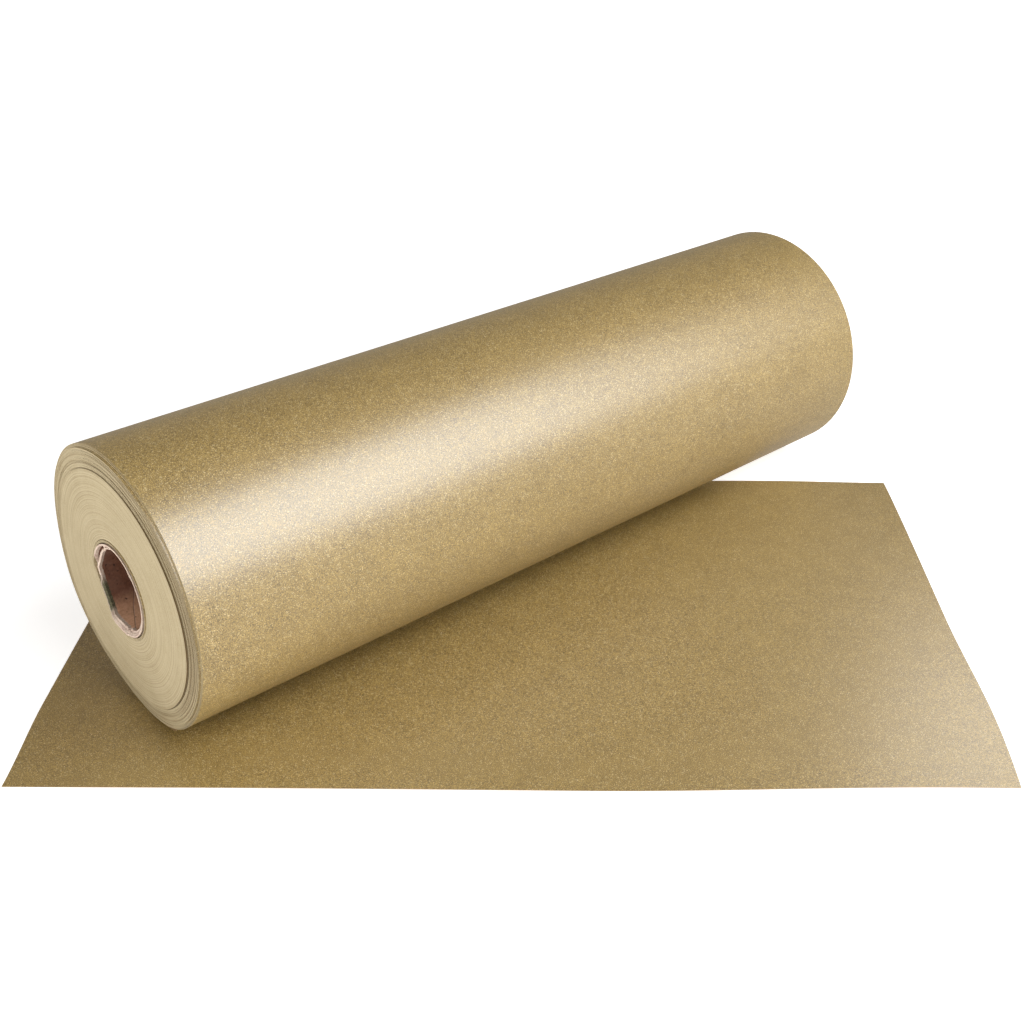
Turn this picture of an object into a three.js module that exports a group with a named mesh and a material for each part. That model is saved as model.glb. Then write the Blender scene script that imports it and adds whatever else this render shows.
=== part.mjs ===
// A roll of gold wrapping paper on a board core, lying across a sheet cut from the same paper.
//
// The web of paper is wound on a tube of three board plies. Its start is held to the tube by a
// strip of tape. The winding is tight up to a radius of 64.5 mm. The turns outside that have
// loosened and slipped sideways, each bundle a little further than the one it lies on. The web
// comes over the top, goes down behind and under the roll, and its free end lies on the front.
//
// Millimetres. The roll's axis runs along X, and the core stands out at the -X end. +Z is up, and
// -Y is the front. The origin is on the surface that everything rests on, below the roll's middle.

import * as THREE from 'three';

// Driving dimensions.
const WEB_WIDTH = 500; // width of the paper as made, so the length of every turn
const ROLL_RADIUS = 77;
const CLEARANCE = 0.3; // left between two pieces that touch
const CORE_BORE_RADIUS = 22.25; // a 1 3/4 inch mandrel
const PLY_COUNT = 3;
const PLY_THICKNESS = 0.65;
const TAPE_THICKNESS = 0.2;
const TAPE_ARC = 50; // degrees of the core that the tape covers
const TAPE_END_MARGIN = 12;
const FIRST_TURNS_RADIUS = 27;
const TIGHT_RADIUS = 64.5;
const LOOSE_INNER_RADIUS = 70.3;
const LOOSE_OUTER_RADIUS = 74.7;
const OUTER_TURN_THICKNESS = 0.6;
const SHEET_THICKNESS = 0.4;
const SHEET_LENGTH = 320; // cut off along the web
const SHEET_CENTRE = new THREE.Vector2(-38.5, -56);
const SHEET_TURN = -43; // degrees from the roll's axis

// How far each part of the winding has slipped towards -X.
const SLIP = { core: 3.8, firstTurns: 2.2, tight: 3, looseInner: 2, looseOuter: 1, lastTurns: 0.3 };

// The free end of the web, in degrees past the lowest line of the roll, towards the front.
const TAIL_FOLD_ANGLE = 10;
const TAIL_EDGE_ANGLE = 24;

// The dent in the core's mouth at the -X end, pushed in from behind.
const DENT_DEPTH = 3.4;
const DENT_DIRECTION = -22; // degrees from +Y towards +Z
const DENT_HALF_WIDTH = 44; // degrees
const DENT_REACH = 70; // how far it runs into the core

const RING_SEGMENTS = 96;
const PLY_SEGMENTS = 64;

// Sizes that follow from them.
const AXIS_HEIGHT = SHEET_THICKNESS + CLEARANCE + ROLL_RADIUS;
const CORE_RADIUS = CORE_BORE_RADIUS + PLY_COUNT * PLY_THICKNESS + (PLY_COUNT - 1) * CLEARANCE;
const TAPE_RADIUS = CORE_RADIUS + CLEARANCE;
const FIRST_TURNS_BORE = TAPE_RADIUS + TAPE_THICKNESS + CLEARANCE;
const OUTER_TURN_BORE = ROLL_RADIUS - OUTER_TURN_THICKNESS;

// The roll's directions. Angles round it run from BACK towards UP.
const ALONG = new THREE.Vector3(1, 0, 0);
const BACK = new THREE.Vector3(0, 1, 0);
const UP = new THREE.Vector3(0, 0, 1);

const goldPaper = new THREE.MeshStandardMaterial({ color: 0xb09a68, roughness: 0.45, metalness: 0.5 });
const greyBoard = new THREE.MeshStandardMaterial({ color: 0x94786a, roughness: 0.95, metalness: 0 });
const clearTape = new THREE.MeshStandardMaterial({ color: 0xd9cba0, roughness: 0.4, metalness: 0 });

const axisLevel = new THREE.Group();
axisLevel.position.z = AXIS_HEIGHT;

const wrappingPaperRoll = new THREE.Group();
wrappingPaperRoll.add(axisLevel);

function addPiece(parent, name, geometry, material) {
  const piece = new THREE.Mesh(geometry, material);
  piece.name = name;
  parent.add(piece);
  return piece;
}

// Stations along a tube with its ends at -length/2 and length/2, closer together near the -X end.
function stationsNearMouth(length, offsets) {
  return [...offsets.map((offset) => offset - length / 2), length / 2];
}

// A tube about the roll's axis, with its walls at the given stations, moved by slip towards -X.
function tube(innerRadius, outerRadius, stations, slip, segments) {
  const wall = (radius) => stations.map((x) => new THREE.Vector2(radius, x - slip));
  const profile = [...wall(outerRadius), ...wall(innerRadius).reverse()];
  profile.push(profile[0].clone());
  const geometry = new THREE.LatheGeometry(profile, segments);
  return geometry.applyMatrix4(new THREE.Matrix4().makeBasis(UP, ALONG, BACK));
}

// A strip of a tube's wall from one angle to another, in degrees from +Y towards +Z.
function wallStrip(innerRadius, outerRadius, fromAngle, toAngle, length, curveSegments) {
  const start = THREE.MathUtils.degToRad(fromAngle);
  const end = THREE.MathUtils.degToRad(toAngle);
  const outline = new THREE.Shape();
  outline.absarc(0, 0, outerRadius, start, end, false);
  outline.absarc(0, 0, innerRadius, end, start, true);
  outline.closePath();
  const geometry = new THREE.ExtrudeGeometry(outline, { depth: length, bevelEnabled: false, curveSegments });
  geometry.translate(0, 0, -length / 2);
  return geometry.applyMatrix4(new THREE.Matrix4().makeBasis(BACK, UP, ALONG));
}

// Pushes the core's mouth in. The push fades along the tube, and between two radii.
function dent(geometry, fullRadius, zeroRadius) {
  const mouth = -WEB_WIDTH / 2 - SLIP.core;
  const points = geometry.attributes.position;
  const point = new THREE.Vector3();
  for (let i = 0; i < points.count; i += 1) {
    point.fromBufferAttribute(points, i);
    const radius = Math.hypot(point.y, point.z);
    const turn = THREE.MathUtils.radToDeg(Math.atan2(point.z, point.y)) - DENT_DIRECTION;
    const across = THREE.MathUtils.clamp(Math.abs(turn) / DENT_HALF_WIDTH, 0, 1);
    const inward = THREE.MathUtils.clamp((point.x - mouth) / DENT_REACH, 0, 1);
    const wall = 1 - THREE.MathUtils.smoothstep(radius, fullRadius, zeroRadius);
    const push = DENT_DEPTH * Math.cos(across * Math.PI / 2) ** 2 * (1 - inward) ** 2 * wall;
    const scale = (radius - push) / radius;
    points.setXYZ(i, point.x, point.y * scale, point.z * scale);
  }
  return geometry;
}

function addCore() {
  const stations = stationsNearMouth(WEB_WIDTH, [0, 12, 26, 44, DENT_REACH]);
  const names = ['core_inner_ply', 'core_middle_ply', 'core_outer_ply'];
  names.forEach((name, index) => {
    const innerRadius = CORE_BORE_RADIUS + index * (PLY_THICKNESS + CLEARANCE);
    const outerRadius = innerRadius + PLY_THICKNESS;
    const ply = tube(innerRadius, outerRadius, stations, SLIP.core, PLY_SEGMENTS);
    addPiece(axisLevel, name, dent(ply, CORE_RADIUS, FIRST_TURNS_RADIUS), greyBoard);
  });
}

function addStartTape() {
  const middle = DENT_DIRECTION + 180;
  const outerRadius = TAPE_RADIUS + TAPE_THICKNESS;
  const length = WEB_WIDTH - 2 * TAPE_END_MARGIN;
  const from = middle - TAPE_ARC / 2;
  const strip = wallStrip(TAPE_RADIUS, outerRadius, from, from + TAPE_ARC, length, 8);
  addPiece(axisLevel, 'start_tape', strip, clearTape);
}

function addWinding() {
  const mouthStations = stationsNearMouth(WEB_WIDTH, [0, 12, 26, 44, DENT_REACH]);
  const ends = stationsNearMouth(WEB_WIDTH, [0]);
  const first = tube(FIRST_TURNS_BORE, FIRST_TURNS_RADIUS, mouthStations, SLIP.firstTurns, PLY_SEGMENTS);
  addPiece(axisLevel, 'first_turns', dent(first, FIRST_TURNS_BORE, FIRST_TURNS_RADIUS), goldPaper);

  const bundles = [
    ['wound_paper', FIRST_TURNS_RADIUS, TIGHT_RADIUS, SLIP.tight],
    ['loose_turns_inner', TIGHT_RADIUS, LOOSE_INNER_RADIUS, SLIP.looseInner],
    ['loose_turns_outer', LOOSE_INNER_RADIUS, LOOSE_OUTER_RADIUS, SLIP.looseOuter],
    ['last_turns', LOOSE_OUTER_RADIUS, OUTER_TURN_BORE - CLEARANCE, SLIP.lastTurns],
  ];
  for (const [name, radiusBelow, outerRadius, slip] of bundles) {
    const bundle = tube(radiusBelow + CLEARANCE, outerRadius, ends, slip, RING_SEGMENTS);
    addPiece(axisLevel, name, bundle, goldPaper);
  }
}

// The outermost turn stops at the fold, and the tail carries on from there to the free edge.
function addOuterTurn() {
  const halfGap = THREE.MathUtils.radToDeg(CLEARANCE / ROLL_RADIUS) / 2;
  const fold = -90 - TAIL_FOLD_ANGLE;
  const edge = -90 - TAIL_EDGE_ANGLE;
  const turnEnd = edge + 360 - 2 * halfGap;
  const turn = wallStrip(OUTER_TURN_BORE, ROLL_RADIUS, fold + halfGap, turnEnd, WEB_WIDTH, RING_SEGMENTS / 2);
  const tail = wallStrip(OUTER_TURN_BORE, ROLL_RADIUS, edge, fold - halfGap, WEB_WIDTH, 5);
  addPiece(axisLevel, 'outer_turn', turn, goldPaper);
  addPiece(axisLevel, 'paper_tail', tail, goldPaper);
}

function addCutSheet() {
  const slab = new THREE.BoxGeometry(WEB_WIDTH, SHEET_LENGTH, SHEET_THICKNESS);
  const sheet = addPiece(wrappingPaperRoll, 'cut_sheet', slab, goldPaper);
  sheet.position.set(SHEET_CENTRE.x, SHEET_CENTRE.y, SHEET_THICKNESS / 2);
  sheet.rotation.z = THREE.MathUtils.degToRad(SHEET_TURN);
}

addCore();
addStartTape();
addWinding();
addOuterTurn();
addCutSheet();

export default wrappingPaperRoll;
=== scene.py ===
"""The looks of a roll of gold wrapping paper and the cut sheet under it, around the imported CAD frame."""

import math

import bpy
import numpy as np
from mathutils import Matrix, Vector


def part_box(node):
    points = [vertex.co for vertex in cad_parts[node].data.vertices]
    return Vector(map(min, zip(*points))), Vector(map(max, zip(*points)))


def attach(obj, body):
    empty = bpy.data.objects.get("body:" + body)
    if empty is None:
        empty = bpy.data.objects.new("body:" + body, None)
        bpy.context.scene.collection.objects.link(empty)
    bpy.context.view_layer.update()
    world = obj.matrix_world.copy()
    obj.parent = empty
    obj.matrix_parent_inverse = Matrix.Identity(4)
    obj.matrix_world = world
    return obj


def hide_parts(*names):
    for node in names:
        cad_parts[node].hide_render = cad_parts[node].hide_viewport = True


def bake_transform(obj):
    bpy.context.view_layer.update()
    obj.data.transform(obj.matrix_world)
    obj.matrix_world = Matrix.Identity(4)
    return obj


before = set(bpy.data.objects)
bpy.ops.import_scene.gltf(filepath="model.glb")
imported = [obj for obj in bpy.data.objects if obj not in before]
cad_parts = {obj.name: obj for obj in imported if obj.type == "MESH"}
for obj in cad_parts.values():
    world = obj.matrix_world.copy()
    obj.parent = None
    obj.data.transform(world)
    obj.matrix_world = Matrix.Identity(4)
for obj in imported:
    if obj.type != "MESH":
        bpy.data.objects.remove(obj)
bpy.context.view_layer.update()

MM = 0.001

# Angles round the roll are seen from its -X end: 0 at the front, 90 degrees on top, and growing
# towards the back. The web winds outwards as they grow.


# ---------------------------------------------------------------- sizes taken from the frame


def outer_radius(node):
    low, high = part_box(node)
    return (high[1] - low[1]) / 2


def slip_of(node):
    """How far a node stands out of the roll's -X end, past the outermost turn."""
    return NEAR_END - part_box(node)[0][0]


TURN_LOW, TURN_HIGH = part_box("outer_turn")
ROLL_RADIUS = outer_radius("outer_turn")
AXIS_HEIGHT = TURN_HIGH[2] - ROLL_RADIUS
WEB_WIDTH = TURN_HIGH[0] - TURN_LOW[0]
NEAR_END = TURN_LOW[0]
FAR_END = TURN_HIGH[0]
TIGHT_RADIUS = outer_radius("wound_paper")
FIRST_TURNS_RADIUS = outer_radius("first_turns")
CORE_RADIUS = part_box("core_outer_ply")[1][2] - AXIS_HEIGHT
PLY_RADII = [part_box(f"core_{name}_ply")[1][2] - AXIS_HEIGHT for name in ("inner", "middle", "outer")]
CORE_SLIP = slip_of("core_outer_ply") + 0.3 * MM  # the torn rim bends out a little further
TIGHT_SLIP = slip_of("wound_paper")


# ---------------------------------------------------------------- the object's own sizes

PLY_THICKNESS = 0.85 * MM
BORE_RADIUS = PLY_RADII[0] - PLY_THICKNESS
DENT_DEPTH = 4.1 * MM
DENT_ANGLE = math.radians(205)
DENT_REACH = 70 * MM  # how far the dent runs into the core
DENT_FADE_RADIUS = 40 * MM  # where the winding round the core no longer feels it
RIM_STATIONS = np.array([0, 0.25, 0.6, 1.1, 1.8, 2.8, 4.2, 6.5, 10, 15, 22, 31, 42, 55, 70]) * MM
PLAIN_STATIONS = 6  # along the rest of the core
TORN_FACES = 5  # faces of the bore's wall, in from the rim, that are torn
CORE_STEPS = 480  # round the core
SEAM_LEAD = 62 * MM  # how far the seam of the liner runs along the core in one turn
SEAM_ANGLE = math.radians(-110)
SEAM_DEPTH = 10.3 * MM  # how far in from the core's mouth the seam lies at that angle
SEAM_START = NEAR_END - CORE_SLIP + SEAM_DEPTH + SEAM_LEAD * SEAM_ANGLE / (2 * math.pi)

TAPE_THICKNESS = 0.1 * MM
TAPE_RADIUS = CORE_RADIUS + 0.45 * MM
TAPE_START = math.radians(-3)
TAPE_END = math.radians(47)
TAPE_STEPS = 40
TAPE_TOOTH = 0.6 * MM

PAPER = 0.17 * MM
FIRST_RIBBON_TURNS = 6
WINDING_STEPS = 240  # round the tight winding
NEAR_RINGS = 210  # in the end face that is seen from close by
FAR_RINGS = 90
LOOSE_TURNS = 54
LAST_INNER_TURN = 25  # the last turn of the first loose bundle
LAST_OUTER_TURN = 45  # and of the second
EDGE_ANGLE = math.radians(-66)  # the free edge of the web
FOLD_START = math.radians(-84)
FOLD_END = math.radians(-76)
EDGE_LIFT = 1.2 * MM  # how far the free edge stands off the roll
STEPS_PER_TURN = 180
GROUP_TURNS = 3.6  # loose turns that have slipped together

SHEET_PAPER = 0.2 * MM
SHEET_STEPS_ACROSS = 120
SHEET_STEPS_ALONG = 80
PRESSED_HEIGHT = 0.2 * MM  # how high its underside lies where the roll presses it level
PRESSED_HALF_LENGTH = 270 * MM

SMOOTH_ANGLE = math.radians(40)  # sharper edges than this stay crisp


# ---------------------------------------------------------------- repeatable noise


def smooth_noise(position, seed, scale):
    """One-dimensional value noise from -1 to 1 at each position, which may be an array."""
    position = np.asarray(position, float) * scale
    cell = np.floor(position)
    part = position - cell
    part = part * part * (3 - 2 * part)

    def level(index):
        value = np.sin(index * 127.1 + seed * 311.7) * 43758.5453
        return 2 * (value - np.floor(value)) - 1

    return level(cell) * (1 - part) + level(cell + 1) * part


def round_noise(angle, seed, lobes):
    """Noise round a circle that meets itself, from about -1 to 1."""
    angle = np.asarray(angle, float)
    total = np.zeros_like(angle)
    for order in range(1, lobes + 1):
        phase = seed * 12.9898 + order * 78.233
        weight = math.sin(seed * 39.346 + order * 11.135)
        total = total + weight * np.cos(order * angle + phase)
    return total / math.sqrt(lobes)


def bump(angle, centre, half_width):
    """1 at centre, falling smoothly to 0 at half_width away, round a circle. centre and half_width are
    in degrees."""
    away = np.abs((angle - math.radians(centre) + math.pi) % (2 * math.pi) - math.pi)
    part = np.clip(1 - away / math.radians(half_width), 0, 1)
    return part * part * (3 - 2 * part)


def hump(place, centre, half_width):
    """1 at centre, falling smoothly to 0 at half_width away, along a line."""
    part = np.clip(1 - np.abs(place - centre) / half_width, 0, 1)
    return part * part * (3 - 2 * part)


def smoothstep(low, high, value):
    part = np.clip((np.asarray(value, float) - low) / (high - low), 0, 1)
    return part * part * (3 - 2 * part)


# ---------------------------------------------------------------- meshes


def round_point(x, radius, angle):
    """Points at an angle round the roll's axis, in the scene's frame."""
    x, radius, angle = np.broadcast_arrays(x, radius, angle)
    y = -radius * np.cos(angle)
    z = AXIS_HEIGHT + radius * np.sin(angle)
    return np.stack([x, y, z], axis=-1)


def new_mesh(name, points, faces, materials, face_material=None):
    mesh = bpy.data.meshes.new(name)
    mesh.from_pydata([tuple(point) for point in points], [], faces)
    for material in materials:
        mesh.materials.append(material)
    if face_material is not None:
        mesh.polygons.foreach_set("material_index", np.asarray(face_material, np.int32))
    mesh.shade_smooth()
    mesh.set_sharp_from_angle(angle=SMOOTH_ANGLE)
    piece = bpy.data.objects.new(name, mesh)
    bpy.context.collection.objects.link(piece)
    return piece


def loop_faces(rows, columns, close_rows=False):
    """Quads between rows of points whose columns run round and close on themselves."""
    faces = []
    last = rows if close_rows else rows - 1
    for row in range(last):
        here = row * columns
        there = ((row + 1) % rows) * columns
        for column in range(columns):
            after = (column + 1) % columns
            faces.append((here + column, here + after, there + after, there + column))
    return faces


def slab(name, front, back, materials):
    """A thin closed body between two grids of points. Its front takes the first material, and its
    back and edges the second."""
    rings = np.concatenate([front, back[:, ::-1]], axis=1)
    rows, columns = rings.shape[:2]
    faces = loop_faces(rows, columns)
    across = columns // 2 - 1  # faces across the front, and across the back
    kinds = [0 if column < across else 1 for _ in range(rows - 1) for column in range(columns)]
    for row, first_end in ((0, True), (rows - 1, False)):
        for column in range(across):
            a = row * columns + column
            b = a + 1
            c = row * columns + columns - 2 - column
            d = c + 1
            faces.append((a, d, c, b) if first_end else (a, b, c, d))
            kinds.append(1)
    return new_mesh(name, rings.reshape(-1, 3), faces, materials, kinds)


def ribbon(name, angles, radii, thickness, near, far, stations, materials, lift=None):
    """A strip of paper wound about the axis. angles, radii, thickness, near and far hold one value for
    each step round the roll. stations are the places across the web, from 0 at its near edge to 1 at
    its far one. lift, where given, is a function that adds to the radius."""
    stations = np.asarray(stations, float)[None, :]
    angle = angles[:, None]
    across = near[:, None] + (far - near)[:, None] * stations
    radius = radii[:, None] + (0 if lift is None else lift(angle, stations))
    outer = round_point(across, radius, angle)
    inner = round_point(across, radius - thickness[:, None], angle)
    return slab(name, outer, inner, materials)


def turned_body(name, profile, steps, materials, kinds, reshape):
    """A closed body turned about the axis. profile is a closed run of (x, radius). kinds gives the
    material of the face after each of its points, and reshape moves the points of the turned body."""
    profile = np.asarray(profile, float)
    angles = np.arange(steps) * 2 * math.pi / steps
    x = np.tile(profile[:, 0], (steps, 1))
    radius = np.tile(profile[:, 1], (steps, 1))
    angle = np.tile(angles[:, None], (1, len(profile)))
    x, radius = reshape(x, radius, angle)
    points = round_point(x, radius, angle).reshape(-1, 3)
    faces = loop_faces(steps, len(profile), close_rows=True)
    return new_mesh(name, points, faces, materials, kinds * steps)


# ---------------------------------------------------------------- material nodes


def add_node(tree, kind, inputs, **settings):
    """A shader node. inputs gives sockets to link or values to set, by name or number."""
    made = tree.nodes.new(kind)
    for name, value in settings.items():
        setattr(made, name, value)
    for name, value in inputs.items():
        if isinstance(value, bpy.types.NodeSocket):
            tree.links.new(value, made.inputs[name])
        else:
            made.inputs[name].default_value = value
    return made


def calc(tree, operation, *values):
    inputs = dict(enumerate(values))
    return add_node(tree, "ShaderNodeMath", inputs, operation=operation).outputs[0]


def spread(tree, value, low, high, to_low=0.0, to_high=1.0):
    """value from low..high carried over to to_low..to_high, and held at their ends outside it."""
    inputs = {"Value": value, "From Min": low, "From Max": high, "To Min": to_low, "To Max": to_high}
    return add_node(tree, "ShaderNodeMapRange", inputs).outputs[0]


def mix_colour(tree, factor, first, second):
    inputs = {0: factor, 6: first, 7: second}
    return add_node(tree, "ShaderNodeMix", inputs, data_type="RGBA").outputs[2]


def two_tones(tree, texture, deep, pale):
    """From deep to pale over the range in which most of a noise texture lies."""
    return mix_colour(tree, spread(tree, texture, 0.3, 0.7), deep, pale)


def noise(tree, place, scale, detail=2.0, roughness=0.5):
    inputs = {"Vector": place, "Scale": scale, "Detail": detail, "Roughness": roughness}
    return add_node(tree, "ShaderNodeTexNoise", inputs).outputs["Fac"]


def raised(tree, height, depth, strength):
    inputs = {"Height": height, "Distance": depth, "Strength": strength}
    return add_node(tree, "ShaderNodeBump", inputs).outputs["Normal"]


def new_material(name, **fixed):
    """A material with a Principled shader. fixed holds the sockets that are the same all over it."""
    material = bpy.data.materials.new(name)
    material.use_nodes = True
    tree = material.node_tree
    shader = tree.nodes["Principled BSDF"]
    for socket, value in fixed.items():
        shader.inputs[socket.replace("_", " ")].default_value = value
    place = add_node(tree, "ShaderNodeTexCoord", {}).outputs["Object"]
    return material, tree, shader, place


def feed(tree, shader, **sockets):
    for socket, value in sockets.items():
        tree.links.new(value, shader.inputs[socket.replace("_", " ")])


def roll_place(tree, place):
    """Place along the roll's axis, radius from it and angle round it, as sockets."""
    parts = add_node(tree, "ShaderNodeSeparateXYZ", {0: place}).outputs
    height = calc(tree, "SUBTRACT", parts["Z"], AXIS_HEIGHT)
    level_square = calc(tree, "MULTIPLY", parts["Y"], parts["Y"])
    height_square = calc(tree, "MULTIPLY", height, height)
    radius = calc(tree, "SQRT", calc(tree, "ADD", level_square, height_square))
    angle = calc(tree, "ARCTAN2", height, calc(tree, "MULTIPLY", parts["Y"], -1.0))
    return parts["X"], radius, angle


# ---------------------------------------------------------------- materials


def gold_paper(name, deep, pale, fleck):
    """Gold ink printed on kraft paper: a satin sheen, a fine grain, and small bright flecks of metal."""
    material, tree, shader, place = new_material(name, IOR=2.2)
    grain = noise(tree, place, 1900, 2.0, 0.6)
    cloud = noise(tree, place, 60, 3.0)
    mottle = noise(tree, place, 330, 2.0)
    tone = calc(tree, "ADD", calc(tree, "MULTIPLY", grain, 0.84), calc(tree, "MULTIPLY", mottle, 0.09))
    tone = calc(tree, "ADD", tone, calc(tree, "MULTIPLY", cloud, 0.07))
    colour = mix_colour(tree, spread(tree, tone, 0.38, 0.62), deep, pale)
    cells = add_node(tree, "ShaderNodeTexVoronoi", {"Vector": place, "Scale": 2000.0})
    chance = add_node(tree, "ShaderNodeSeparateColor", {0: cells.outputs["Color"]}).outputs[0]
    chosen = calc(tree, "GREATER_THAN", chance, 0.88)
    dot = spread(tree, cells.outputs["Distance"], 0.3, 0.6, 1.0, 0.0)
    bright = calc(tree, "MULTIPLY", chosen, dot)
    colour = mix_colour(tree, calc(tree, "MULTIPLY", bright, 0.6), colour, fleck)
    # Paler grains are rougher too, so the grain shows less where the light glances off the paper.
    roughness = spread(tree, tone, 0.38, 0.62, 0.385, 0.45)
    roughness = calc(tree, "ADD", roughness, calc(tree, "MULTIPLY", bright, 0.1))
    normal = raised(tree, grain, 0.05 * MM, 0.12)
    feed(tree, shader, Base_Color=colour, Roughness=roughness, Normal=normal)
    return material


def paper_edges():
    """The cut edges of the web, seen together as fine rings round the roll's axis. Dark rings are painted
    as shade in the gaps between turns, at half strength in the tight winding and stronger among the
    loosened turns."""
    material, tree, shader, place = new_material("paper_edges", IOR=1.4)
    _, radius, _ = roll_place(tree, place)
    gap_shade_strength = spread(tree, radius, TIGHT_RADIUS - 1.5 * MM, TIGHT_RADIUS + 0.5 * MM, 0.5, 0.95)
    wander = calc(tree, "MULTIPLY", noise(tree, place, 25, 2.0), 1.6 * MM)
    radius = calc(tree, "ADD", radius, wander)

    def rings(scale):
        inputs = {"W": radius, "Scale": scale, "Detail": 2.0}
        return add_node(tree, "ShaderNodeTexNoise", inputs, noise_dimensions="1D").outputs["Fac"]

    fine = spread(tree, rings(2600), 0.25, 0.75)
    broad = spread(tree, rings(420), 0.3, 0.7)
    cloud = spread(tree, noise(tree, place, 70, 3.0), 0.3, 0.7)
    grit = spread(tree, noise(tree, place, 2200, 2.0), 0.3, 0.7)
    # Painted shade: dark rings for the gaps between turns.
    gap_shade_lines = spread(tree, rings(1000), 0.52, 0.64)
    pale = (0.54, 0.452, 0.28, 1)
    brown = (0.215, 0.152, 0.068, 1)
    colour = mix_colour(tree, calc(tree, "MULTIPLY", fine, 0.8), pale, brown)
    colour = mix_colour(tree, calc(tree, "MULTIPLY", gap_shade_lines, gap_shade_strength), colour, (0.21, 0.145, 0.062, 1))
    colour = mix_colour(tree, calc(tree, "MULTIPLY", broad, 0.45), colour, (0.30, 0.225, 0.11, 1))
    colour = mix_colour(tree, calc(tree, "MULTIPLY", cloud, 0.25), colour, (0.54, 0.45, 0.28, 1))
    colour = mix_colour(tree, calc(tree, "MULTIPLY", grit, 0.25), colour, (0.70, 0.62, 0.44, 1))
    height = calc(tree, "ADD", fine, calc(tree, "MULTIPLY", grit, 0.5))
    roughness = spread(tree, fine, 0, 1, 0.75, 0.9)
    normal = raised(tree, height, 0.06 * MM, 0.5)
    feed(tree, shader, Base_Color=colour, Roughness=roughness, Normal=normal)
    return material


def dull_kraft(name, deep, pale):
    """Kraft paper without the gold ink's shine: the unprinted side or, in darker tones, painted shade on
    the printed side where it lies in the gaps between turns.
    """
    material, tree, shader, place = new_material(name, IOR=1.4)
    fibres = noise(tree, place, 900, 4.0, 0.65)
    colour = two_tones(tree, fibres, deep, pale)
    roughness = spread(tree, fibres, 0.3, 0.7, 0.7, 0.85)
    normal = raised(tree, fibres, 0.06 * MM, 0.5)
    feed(tree, shader, Base_Color=colour, Roughness=roughness, Normal=normal)
    return material


def core_liner():
    """The red-brown board that lines the bore. It has the seam of its spiral winding, a paler band of
    painted light along the bottom, where light falls into the bore, and a few dark specks."""
    material, tree, shader, place = new_material("core_liner", IOR=1.4)
    x, _, angle = roll_place(tree, place)
    turns = calc(tree, "MULTIPLY", angle, SEAM_LEAD / (2 * math.pi))
    along = calc(tree, "SUBTRACT", calc(tree, "ADD", x, turns), SEAM_START)
    along = calc(tree, "WRAP", along, SEAM_LEAD / 2, -SEAM_LEAD / 2)
    across = calc(tree, "ABSOLUTE", along)
    seam_lip = spread(tree, across, 0.08 * MM, 0.2 * MM, 1.0, 0.0)
    beside = calc(tree, "ABSOLUTE", calc(tree, "ADD", along, 0.35 * MM))
    seam_gap = spread(tree, beside, 0.1 * MM, 0.25 * MM, 1.0, 0.0)
    fibres = noise(tree, place, 700, 4.0, 0.65)
    patches = noise(tree, place, 130, 3.0)
    colour = two_tones(tree, fibres, (0.125, 0.046, 0.025, 1), (0.23, 0.100, 0.057, 1))
    colour = mix_colour(tree, spread(tree, patches, 0.4, 0.7, 0.0, 0.35), colour, (0.27, 0.165, 0.12, 1))
    # Painted light: the bottom of the bore is made paler, where light falls in.
    from_bottom = calc(tree, "ABSOLUTE", calc(tree, "ADD", angle, math.radians(92)))
    painted_light_band = spread(tree, from_bottom, 0.2, 0.95, 0.9, 0.0)
    lit_fibres = two_tones(tree, fibres, (0.66, 0.38, 0.22, 1), (0.95, 0.59, 0.38, 1))
    colour = mix_colour(tree, painted_light_band, colour, lit_fibres)
    specks = spread(tree, noise(tree, place, 480, 0.0), 0.74, 0.78, 0.0, 0.85)
    colour = mix_colour(tree, specks, colour, (0.05, 0.025, 0.02, 1))
    colour = mix_colour(tree, calc(tree, "MULTIPLY", seam_lip, 0.7), colour, (0.52, 0.36, 0.28, 1))
    colour = mix_colour(tree, calc(tree, "MULTIPLY", seam_gap, 0.7), colour, (0.09, 0.04, 0.03, 1))
    height = calc(tree, "SUBTRACT", fibres, calc(tree, "MULTIPLY", seam_gap, 2.0))
    roughness = spread(tree, fibres, 0.3, 0.7, 0.8, 0.95)
    normal = raised(tree, height, 0.1 * MM, 0.6)
    feed(tree, shader, Base_Color=colour, Roughness=roughness, Normal=normal)
    return material


def torn_board(name, dent_darkening):
    """Board where it is torn or cut: pale pinkish fibres, darkened near the dent by crushed dirt and
    painted shade.
    """
    material, tree, shader, place = new_material(name, IOR=1.4)
    _, _, angle = roll_place(tree, place)
    fibres = noise(tree, place, 1100, 4.0, 0.7)
    patches = noise(tree, place, 220, 3.0)
    colour = two_tones(tree, fibres, (0.46, 0.33, 0.245, 1), (0.80, 0.67, 0.56, 1))
    colour = mix_colour(tree, spread(tree, patches, 0.5, 0.75, 0.0, 0.5), colour, (0.45, 0.25, 0.22, 1))
    # Near the dent the rims are darkened: partly crushed dirt, partly painted shade.
    darkening_centre = DENT_ANGLE - 2 * math.pi + 0.12  # ARCTAN2 gives angles from -pi to pi
    away = calc(tree, "ABSOLUTE", calc(tree, "SUBTRACT", angle, darkening_centre))
    away = calc(tree, "ADD", away, calc(tree, "MULTIPLY", patches, 0.25))
    dent_darkening_mask = calc(tree, "MULTIPLY", spread(tree, away, 0.45, 0.75, 1.0, 0.0), dent_darkening)
    dirt_and_shade = two_tones(tree, fibres, (0.03, 0.026, 0.015, 1), (0.16, 0.145, 0.08, 1))
    colour = mix_colour(tree, dent_darkening_mask, colour, dirt_and_shade)
    roughness = spread(tree, fibres, 0.3, 0.7, 0.85, 0.95)
    normal = raised(tree, fibres, 0.2 * MM, 0.8)
    feed(tree, shader, Base_Color=colour, Roughness=roughness, Normal=normal)
    return material


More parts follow.
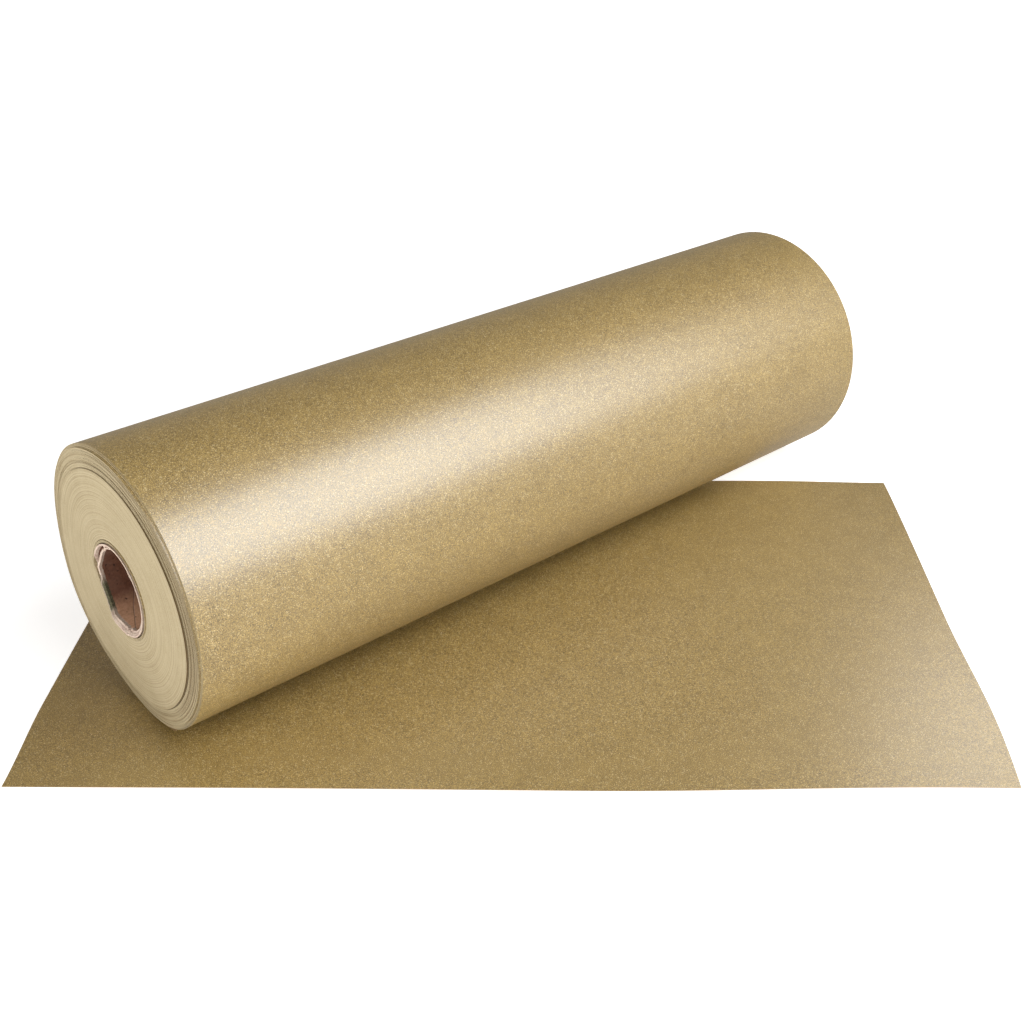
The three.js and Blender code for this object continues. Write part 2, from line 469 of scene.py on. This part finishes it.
def clear_tape():
    """Yellowed tape: glossy, with faint streaks along the strip."""
    material, tree, shader, place = new_material("clear_tape", IOR=1.5)
    stretched = {"Vector": place, "Scale": (20.0, 900.0, 900.0)}
    streaks = noise(tree, add_node(tree, "ShaderNodeMapping", stretched).outputs[0], 1.0, 2.0)
    colour = two_tones(tree, streaks, (0.62, 0.53, 0.30, 1), (0.74, 0.66, 0.42, 1))
    roughness = spread(tree, streaks, 0.3, 0.7, 0.2, 0.4)
    normal = raised(tree, streaks, 0.02 * MM, 0.4)
    feed(tree, shader, Base_Color=colour, Roughness=roughness, Normal=normal)
    return material


def pale_floor():
    """A white floor that glows a little, and more where the lights don't reach it."""
    material, tree, shader, place = new_material("pale_floor", Roughness=0.9)
    shade = noise(tree, place, 3.0, 2.0)
    colour = mix_colour(tree, shade, (0.80, 0.80, 0.80, 1), (0.84, 0.84, 0.84, 1))
    distance = add_node(tree, "ShaderNodeVectorMath", {0: place}, operation="LENGTH").outputs["Value"]
    glow = spread(tree, distance, 0.25, 0.8, 0.6, 1.0)
    feed(tree, shader, Base_Color=colour, Emission_Strength=glow)
    shader.inputs["Emission Color"].default_value = (1, 1, 1, 1)
    return material


GOLD = gold_paper(
    "gold_paper",
    deep=(0.118, 0.071, 0.0145, 1),
    pale=(0.485, 0.33, 0.099, 1),
    fleck=(0.95, 0.80, 0.48, 1),
)
EDGES = paper_edges()
KRAFT = dull_kraft("bare_kraft", (0.33, 0.21, 0.10, 1), (0.46, 0.32, 0.17, 1))
# Dark brown paper painted as shade in the gaps between turns.
GAP_SHADE_PAPER = dull_kraft("painted_gap_shade", (0.12, 0.076, 0.03, 1), (0.21, 0.135, 0.058, 1))
LINER = core_liner()
TORN = torn_board("torn_board", 0.45)
# Board with the full darkening by the dent: crushed dirt and painted shade.
DIRTY_SHADED_BOARD = torn_board("dirty_shaded_board", 1.0)
TAPE = clear_tape()


# ---------------------------------------------------------------- the core


def dent_push(x, radius, angle):
    """How far the core's dented mouth, and the first of the winding with it, is pushed inwards."""
    inward = np.clip((x - NEAR_END + CORE_SLIP) / DENT_REACH, 0, 1)
    away = (angle - DENT_ANGLE + math.pi) % (2 * math.pi) - math.pi
    chord = CORE_RADIUS - DENT_DEPTH
    flat = CORE_RADIUS - chord / np.cos(np.clip(away, -1.2, 1.2))
    flat = np.maximum(flat, 0)
    corner = bump(away, 39, 14) + bump(away, -39, 14)
    fade = 1 - smoothstep(FIRST_TURNS_RADIUS, DENT_FADE_RADIUS, radius)
    return (flat - 0.8 * MM * corner) * (1 - inward) ** 2 * fade


def torn_back(angle, inward):
    """How far the board's rim is torn back from the core's end. inward is 0 at the outer ply's
    outside and 1 at the bore."""
    slope = 1.1 + 0.8 * bump(angle, -88, 45) - 0.5 * bump(angle, 205, 45)
    slope = slope + 1.6 * bump(angle, 55, 75)
    slope = slope + 0.7 * np.abs(round_noise(angle, 12, 50)) * bump(angle, 25, 70)
    ragged = 0.2 * round_noise(angle, 3, 40) + 0.12 * round_noise(angle, 4, 90)
    ragged = ragged * (0.5 + inward) * (1 + 3 * bump(angle, 212, 50))
    return (0.35 + ragged + slope * smoothstep(0.25, 1, inward) + 0.5 * bump(angle, 212, 45)) * MM


def missing_board(angle, ply):
    """How far the middle and outer plies are torn away beside the inner one, which has come loose."""
    reach = (0, 5.0 * bump(angle, 150, 52), 2.4 * bump(angle, 174, 24))
    return reach[ply] * MM


def make_ply(name, node, ply):
    """One ply of the core. ply counts from 0, the inner one."""
    outer = PLY_RADII[ply]
    inner = outer - PLY_THICKNESS
    mouth = NEAR_END - CORE_SLIP
    end = FAR_END - CORE_SLIP
    plain = np.linspace(mouth + 0.1, end, PLAIN_STATIONS)
    stations = np.concatenate([mouth + RIM_STATIONS, plain])
    profile = [(x, outer) for x in stations] + [(x, inner) for x in stations[::-1]]
    # The bore's wall is lined, apart from the torn rim and the cut at the far end.
    last = len(stations)
    kinds = [1] * (2 * last)
    for index in range(last + 1, 2 * last - TORN_FACES):
        kinds[index] = 0

    def reshape(x, radius, angle):
        depth = x - mouth
        inward = np.clip((CORE_RADIUS - radius) / (CORE_RADIUS - BORE_RADIUS), 0, 1)
        torn_away = torn_back(angle, inward) + missing_board(angle, ply)
        x = x + torn_away * np.clip(1 - depth / (25 * MM), 0, 1)
        at_rim = np.exp(-depth / (1.3 * MM))
        flare = 0.35 * MM * at_rim * (1 - inward)
        fray = 0.22 * MM * round_noise(angle, 21 + ply, 60) * at_rim
        fray = fray * (inward + 1.5 * bump(angle, 212, 45))
        apart = 2.0 * MM * bump(angle, 150, 46) * np.exp(-depth / (9 * MM)) * (ply == 0)
        flap = 1.2 * MM * bump(angle, 44, 10) * np.exp(-depth / (3 * MM)) * (ply < 2)
        return x, radius - dent_push(x, radius, angle) + flare - fray - apart - flap

    torn = TORN if ply == 2 else DIRTY_SHADED_BOARD
    piece = turned_body(name, profile, CORE_STEPS, [LINER, torn], kinds, reshape)
    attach(piece, "roll")
    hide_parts(node)


def make_core():
    for ply, word in enumerate(("inner", "middle", "outer")):
        make_ply(f"board_{word}_ply", f"core_{word}_ply", ply)


def make_tape():
    """The strip that holds the web's start to the core, with cut ends like a saw's teeth."""
    low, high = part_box("start_tape")
    angles = np.linspace(TAPE_START, TAPE_END, TAPE_STEPS)
    radii = np.full(TAPE_STEPS, TAPE_RADIUS)
    thickness = np.full(TAPE_STEPS, TAPE_THICKNESS)
    teeth = TAPE_TOOTH * np.abs((np.arange(TAPE_STEPS) / 2) % 2 - 1)
    near = low[0] + teeth
    far = high[0] - teeth
    stations = [0, 0.25, 0.5, 0.75, 1]
    strip = ribbon("tape_strip", angles, radii, thickness, near, far, stations, [TAPE, TAPE])
    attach(strip, "roll")
    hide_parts("start_tape")


# ---------------------------------------------------------------- the winding


def make_first_turns():
    """The first turns on the core, which show as thin rings round its mouth."""
    steps = FIRST_RIBBON_TURNS * STEPS_PER_TURN
    turn = np.linspace(0, FIRST_RIBBON_TURNS, steps + 1)
    angles = turn * 2 * math.pi
    start = CORE_RADIUS + 1.0 * MM
    room = FIRST_TURNS_RADIUS + 0.2 * MM - start
    radii = start + room * turn / FIRST_RIBBON_TURNS
    thickness = np.full(len(turn), 0.85 * room / FIRST_RIBBON_TURNS)
    exposed = bump(angles, 20, 110)
    sunk = 0.3 + 0.4 * np.cos(2 * math.pi * turn / 2.7)
    slip = TIGHT_SLIP + (0.1 - exposed * (sunk + 0.15 * smooth_noise(turn, 5, 2.2))) * MM
    near = NEAR_END - slip
    far = near + WEB_WIDTH
    stations = [0, 0.01, 0.025, 0.045, 0.07, 0.1, 0.15, 1]

    def dented(angle, station):
        x = near[:, None] + WEB_WIDTH * station
        return -dent_push(x, radii[:, None], angle)

    materials = [GOLD, EDGES]
    name = "first_turns_on_core"
    piece = ribbon(name, angles, radii, thickness, near, far, stations, materials, dented)
    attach(piece, "roll")
    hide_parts("first_turns")


def make_tight_winding():
    """The tight part of the roll, whose ends are the edges of hundreds of turns."""
    bore = FIRST_TURNS_RADIUS + 0.3 * MM
    near_rings = np.linspace(bore, TIGHT_RADIUS, NEAR_RINGS)
    far_rings = np.linspace(TIGHT_RADIUS, bore, FAR_RINGS)
    uneven = 0.04 * smooth_noise(near_rings, 31, 2400) + 0.05 * smooth_noise(near_rings, 36, 700)
    near_x = NEAR_END - TIGHT_SLIP + uneven * MM
    far_x = FAR_END - TIGHT_SLIP - 0.05 * MM * (1 + smooth_noise(far_rings, 32, 900))
    walls = np.array([0.02, 0.05, 0.1, 0.15])
    across = NEAR_END - TIGHT_SLIP + WEB_WIDTH * walls
    profile = list(zip(near_x, near_rings))
    profile += [(x, TIGHT_RADIUS) for x in across]
    profile += list(zip(far_x, far_rings))
    profile += [(x, bore) for x in across[::-1]]
    # The wall is gold, with painted shade in dark brown where it shows in the gap beside the near end.
    kinds = [1] * len(profile)
    kinds[NEAR_RINGS - 1] = 2
    for index in range(NEAR_RINGS, NEAR_RINGS + len(across)):
        kinds[index] = 0

    def reshape(x, radius, angle):
        wave = 0.12 * MM * smooth_noise(radius, 33, 140) * round_noise(angle, 34, 3)
        by_core = 1 - smoothstep(bore, bore + 3.2 * MM, radius)
        steps = 0.5 * MM * by_core * bump(angle, 20, 110) * (1 + 0.5 * smooth_noise(radius, 35, 1500))
        pushed = pushed_in(angle) + 1.1 * MM * np.maximum(np.cos(angle), 0) ** 2
        x = x + np.where(x < 0, wave + steps, wave) + pushed * smoothstep(30 * MM, 62 * MM, radius)
        return x, radius - dent_push(x, radius, angle)

    materials = [GOLD, EDGES, GAP_SHADE_PAPER]
    piece = turned_body("tight_winding", profile, WINDING_STEPS, materials, kinds, reshape)
    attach(piece, "roll")
    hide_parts("wound_paper")


# Gaps between the loose turns, wider than elsewhere: under which turn, how wide, and where round the
# roll (middle and half width in degrees).
OPEN_GAPS = [
    (1, 0.65 * MM, 0, 95),
    (1, 0.2 * MM, 90, 60),
    (9, 0.1 * MM, -10, 90),
    (16, 0.08 * MM, -25, 80),
    (LAST_INNER_TURN + 1, 0.4 * MM, 0, 85),
    (33, 0.1 * MM, -20, 80),
    (39, 0.1 * MM, -30, 70),
    (LAST_OUTER_TURN + 1, 0.45 * MM, 0, 75),
    (LOOSE_TURNS, 0.4 * MM, 10, 75),
    (LOOSE_TURNS - 2, 0.4 * MM, -42, 30),
    (LOOSE_TURNS - 4, 0.3 * MM, -36, 34),
    (LOOSE_TURNS - 7, 0.25 * MM, -30, 34),
]


def loose_radii(turn):
    """The loose web's outer radius and thickness, for a running count of turns from 0 to LOOSE_TURNS.
    Where no gap is open, each turn fills the room up to the next."""
    angle = EDGE_ANGLE + 2 * math.pi * turn
    first = TIGHT_RADIUS + PAPER + 0.03 * MM
    extra = np.zeros((LOOSE_TURNS, len(turn)))
    for under, width, middle, half_width in OPEN_GAPS:
        extra[under - 1] += width * bump(angle, middle, half_width)
    spare = ROLL_RADIUS - first - LOOSE_TURNS * PAPER - extra.sum(axis=0)
    step = PAPER + extra + spare / LOOSE_TURNS
    reached = np.vstack([np.zeros(len(turn)), np.cumsum(step, axis=0)])
    whole = np.minimum(np.floor(turn).astype(int), LOOSE_TURNS - 1)
    column = np.arange(len(turn))
    below = reached[whole, column]
    above = reached[whole + 1, column]
    return first + below + (above - below) * (turn - whole), PAPER + spare / LOOSE_TURNS - 0.005 * MM


def pushed_in(angle):
    """How far the winding's underside and back have been pushed along the roll, away from its -X end."""
    return (2.4 * bump(angle, -105, 62) + 0.9 * bump(angle, 180, 60)) * MM


def in_groups(turn):
    """A count of turns that stands still over a few turns and then catches up."""
    group = turn / GROUP_TURNS
    part = group - np.floor(group)
    return GROUP_TURNS * (np.floor(group) + smoothstep(0.7, 1, part))


def loose_slip(turn, angle):
    """How far the web's edge has slipped towards -X: more on top of the roll than under it, and less
    the further out the turn lies."""
    turns = [0, LAST_INNER_TURN, LAST_OUTER_TURN, LAST_OUTER_TURN + 1.5, LOOSE_TURNS - 1.5, LOOSE_TURNS - 1]
    grouped = in_groups(turn)
    above = np.interp(grouped, turns, [2.6, 2.5, 2.4, 1.2, 0.6, 0])
    front = np.interp(grouped, turns, [1.2, 1.1, 0.95, 0.4, 0.2, 0])
    below = np.interp(grouped, turns, [2.6, 1.5, 0.45, 0.3, 0.12, 0])
    behind = np.interp(grouped, turns, [2.9, 1.9, 0.8, 0.4, 0.1, 0])
    upright = np.sin(angle) ** 2 * np.where(np.sin(angle) > 0, above, below)
    level = np.cos(angle) ** 2 * np.where(np.cos(angle) > 0, front, behind)
    uneven = 0.12 * smooth_noise(turn, 41, 0.31) + 0.14 * smooth_noise(turn, 42, 0.9)
    uneven = uneven + 0.05 * smooth_noise(turn, 43, 2.3)
    still = smoothstep(LOOSE_TURNS - 1, LOOSE_TURNS - 1.5, turn)
    return (upright + level + uneven * still) * MM - pushed_in(angle)


def soft_lift(angle, station):
    """The outermost turn's slight looseness, as a rise off the turn below."""
    wave = np.sin(angle * 3 + station * 9) * np.sin(station * 17 + 1.3)
    wave = wave + np.sin(angle * 5 - station * 21 + 2)
    return 0.03 * MM * (1 + 0.5 * wave)


def make_web(name, start, end, node, stations, materials, lift):
    """A stretch of the loose web, from one running count of turns to another. It stands for a node."""
    steps = max(8, round((end - start) * STEPS_PER_TURN))
    turn = np.linspace(start, end, steps + 1)
    angle = EDGE_ANGLE + 2 * math.pi * turn
    slip = loose_slip(turn, angle)
    radii, thickness = loose_radii(turn)
    radii = radii + EDGE_LIFT * edge_rise(turn)
    near = NEAR_END - slip
    far = near + WEB_WIDTH
    piece = ribbon(name, angle, radii, thickness, near, far, stations, materials, lift)
    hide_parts(node)
    return piece


def edge_rise(turn):
    """0 along the web, and from the fold on up to 1 at its free edge, which springs off the roll."""
    reach = (EDGE_ANGLE - FOLD_END) / (2 * math.pi)
    part = np.clip((turn - LOOSE_TURNS + reach) / reach, 0, 1)
    return part**1.6


def make_loose_web():
    """The loose web in five stretches, the last of which is the free end that lifts off the roll."""
    tail_start = LOOSE_TURNS - (EDGE_ANGLE - FOLD_START) / (2 * math.pi)
    last_start = LOOSE_TURNS - 1
    ends = [0, 1]
    fine = np.linspace(0, 1, 49)
    # The printed side of the hidden turns shows only in the gaps between them, where it is painted dark
    # brown as shade.
    hidden = [GAP_SHADE_PAPER, EDGES]
    gold = [GOLD, EDGES]
    stretches = [
        ("inner_loose_web", 0, LAST_INNER_TURN, "loose_turns_inner", ends, hidden, None),
        ("outer_loose_web", LAST_INNER_TURN, LAST_OUTER_TURN, "loose_turns_outer", ends, hidden, None),
        ("last_loose_web", LAST_OUTER_TURN, last_start, "last_turns", ends, gold, None),
        ("outermost_web", last_start, tail_start, "outer_turn", fine, gold, soft_lift),
    ]
    for name, start, end, node, stations, materials, lift in stretches:
        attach(make_web(name, start, end, node, stations, materials, lift), "roll")
    free_end = [GOLD, KRAFT]
    tail = make_web("web_tail", tail_start, LOOSE_TURNS, "paper_tail", fine, free_end, soft_lift)
    fold_start = round_point(0, ROLL_RADIUS, FOLD_START)
    fold_end = round_point(0, ROLL_RADIUS, FOLD_END)
    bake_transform(tail)


# ---------------------------------------------------------------- the cut sheet


def sheet_sides():
    """The CAD sheet's front corner, and its two sides from there: across the web and along it."""
    points = np.array([vertex.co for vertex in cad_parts["cut_sheet"].data.vertices])
    left = points[points[:, 0].argmin()][:2]
    front = points[points[:, 1].argmin()][:2]
    right = points[points[:, 0].argmax()][:2]
    return front, left - front, right - front


def uneven_cut(u, v):
    """How far the hand-cut sheet strays from its rectangle, across the web and along it. u runs from
    its right side to its left, and v from its front to its back."""
    right = 1.2 * np.sqrt(np.sin(math.pi * v)) + 2.8 * hump(v, 0.16, 0.3)
    left = -2.5 * smoothstep(0.2, 0, v)
    front = -1.8 + 4.5 * smoothstep(0.05, 0.42, u)
    back = 2.2 * smoothstep(0, 0.15, u)
    across = left * u - right * (1 - u)
    along = back * v - front * (1 - v)
    return across * MM, along * MM


def sheet_height(u, v, flat):
    """The height of the sheet's underside: faint waves, stronger along its rim, and level where the
    roll presses on it."""
    wave = 0.5 + 0.5 * np.sin(u * 7.3 + v * 4.1) * np.sin(v * 6.2 - u * 2.4 + 0.8)
    rim = np.maximum(np.abs(2 * u - 1), np.abs(2 * v - 1)) ** 6
    free = (0.1 + 0.12 * wave + 0.6 * rim * wave) * MM
    beside_axis = np.abs(flat[..., 1])
    within_length = np.abs(flat[..., 0]) < PRESSED_HALF_LENGTH
    pressed = smoothstep(45 * MM, 15 * MM, beside_axis) * within_length
    return free * (1 - pressed) + PRESSED_HEIGHT * pressed


def make_sheet():
    front, across, along = sheet_sides()
    right_to_left = np.linspace(1, 0, SHEET_STEPS_ACROSS + 1)
    front_to_back = np.linspace(0, 1, SHEET_STEPS_ALONG + 1)
    u, v = np.meshgrid(right_to_left, front_to_back)
    stray_across, stray_along = uneven_cut(u, v)
    share_across = u + stray_across / np.linalg.norm(across)
    share_along = v + stray_along / np.linalg.norm(along)
    flat = front + share_across[..., None] * across + share_along[..., None] * along
    bottom = np.concatenate([flat, sheet_height(u, v, flat)[..., None]], axis=-1)
    top = bottom + np.array([0, 0, SHEET_PAPER])
    piece = slab("sheet_of_wrap", top, bottom, [GOLD, KRAFT])
    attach(piece, "sheet")
    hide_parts("cut_sheet")


# ---------------------------------------------------------------- floor, lights and camera


def make_floor():
    reach = 20.0  # to each side, so that its rim lies near the horizon
    level = -0.1 * MM
    corners = ((-reach, -reach), (reach, -reach), (reach, reach), (-reach, reach))
    points = [(x, y, level) for x, y in corners]
    faces = [(0, 1, 2, 3)]
    floor = new_mesh("floor", points, faces, [pale_floor()])
    floor.visible_glossy = False


def soft_light(name, place, aim, size, power, colour=(1, 1, 1)):
    light = bpy.data.lights.new(name, "AREA")
    light.shape = "RECTANGLE"
    light.size, light.size_y = size
    light.energy = power
    light.color = colour
    lamp = bpy.data.objects.new(name, light)
    lamp.location = place
    lamp.rotation_euler = (Vector(aim) - Vector(place)).to_track_quat("-Z", "Y").to_euler()
    bpy.context.collection.objects.link(lamp)
    return lamp


def make_lights():
    soft_light(
        "key",
        place=(0.22, -0.78, 0.77),
        aim=(0.0, 0.0, 0.09),
        size=(1.1, 0.95),
        power=14.5,
        colour=(0.96, 1.0, 1.05),
    )
    soft_light(
        "left_fill",
        place=(-1.25, -0.15, 0.42),
        aim=(-0.2, 0.0, 0.08),
        size=(1.1, 0.8),
        power=7.8,
    )
    # This one only glances off the sheet, and leaves the roll's far end dark.
    glow = soft_light(
        "sheet_glow",
        place=(0.364, -0.19, 0.274),
        aim=(0.05, -0.34, 0.0),
        size=(0.2, 0.16),
        power=0.42,
    )
    lit = bpy.data.collections.new("sheet_only")
    lit.objects.link(bpy.data.objects["sheet_of_wrap"])
    glow.light_linking.receiver_collection = lit
    glow.visible_diffuse = False
    glow.visible_camera = False


def make_world():
    """Studio surroundings: paler low down than overhead."""
    world = bpy.data.worlds.new("studio")
    bpy.context.scene.world = world
    world.use_nodes = True
    tree = world.node_tree
    direction = add_node(tree, "ShaderNodeTexCoord", {}).outputs["Generated"]
    height = add_node(tree, "ShaderNodeSeparateXYZ", {0: direction}).outputs["Z"]
    rise = spread(tree, height, -0.2, 0.6)
    colour = mix_colour(tree, rise, (0.56, 0.53, 0.48, 1), (0.18, 0.16, 0.14, 1))
    background = tree.nodes["Background"]
    tree.links.new(colour, background.inputs["Color"])
    background.inputs["Strength"].default_value = 1.0


CAMERA_PLACE = (-0.4810, -0.5724, 0.4431)
CAMERA_HEADING = math.radians(41.84)  # from +Y towards +X
CAMERA_DOWN = math.radians(27.08)
CAMERA_ROLL = math.radians(-0.34)
LENS = 47.75  # millimetres, on a sensor 36 wide
LENS_SHIFT = (-0.028, -0.0463)


def make_camera():
    forward = Vector(
        (
            math.sin(CAMERA_HEADING) * math.cos(CAMERA_DOWN),
            math.cos(CAMERA_HEADING) * math.cos(CAMERA_DOWN),
            -math.sin(CAMERA_DOWN),
        )
    )
    level_right = Vector((math.cos(CAMERA_HEADING), -math.sin(CAMERA_HEADING), 0))
    level_up = level_right.cross(forward)
    right = level_right * math.cos(CAMERA_ROLL) + level_up * math.sin(CAMERA_ROLL)
    up = level_up * math.cos(CAMERA_ROLL) - level_right * math.sin(CAMERA_ROLL)
    lens = bpy.data.cameras.new("camera")
    lens.sensor_width = 36
    lens.lens = LENS
    lens.shift_x, lens.shift_y = LENS_SHIFT
    camera = bpy.data.objects.new("camera", lens)
    turn = Matrix((right, up, -forward)).transposed().to_4x4()
    camera.matrix_world = Matrix.Translation(CAMERA_PLACE) @ turn
    bpy.context.collection.objects.link(camera)
    bpy.context.scene.camera = camera


make_camera()
make_core()
make_tape()
make_first_turns()
make_tight_winding()
make_loose_web()
make_sheet()
make_floor()
make_lights()
make_world()
bpy.context.scene.view_settings.view_transform = "Standard"
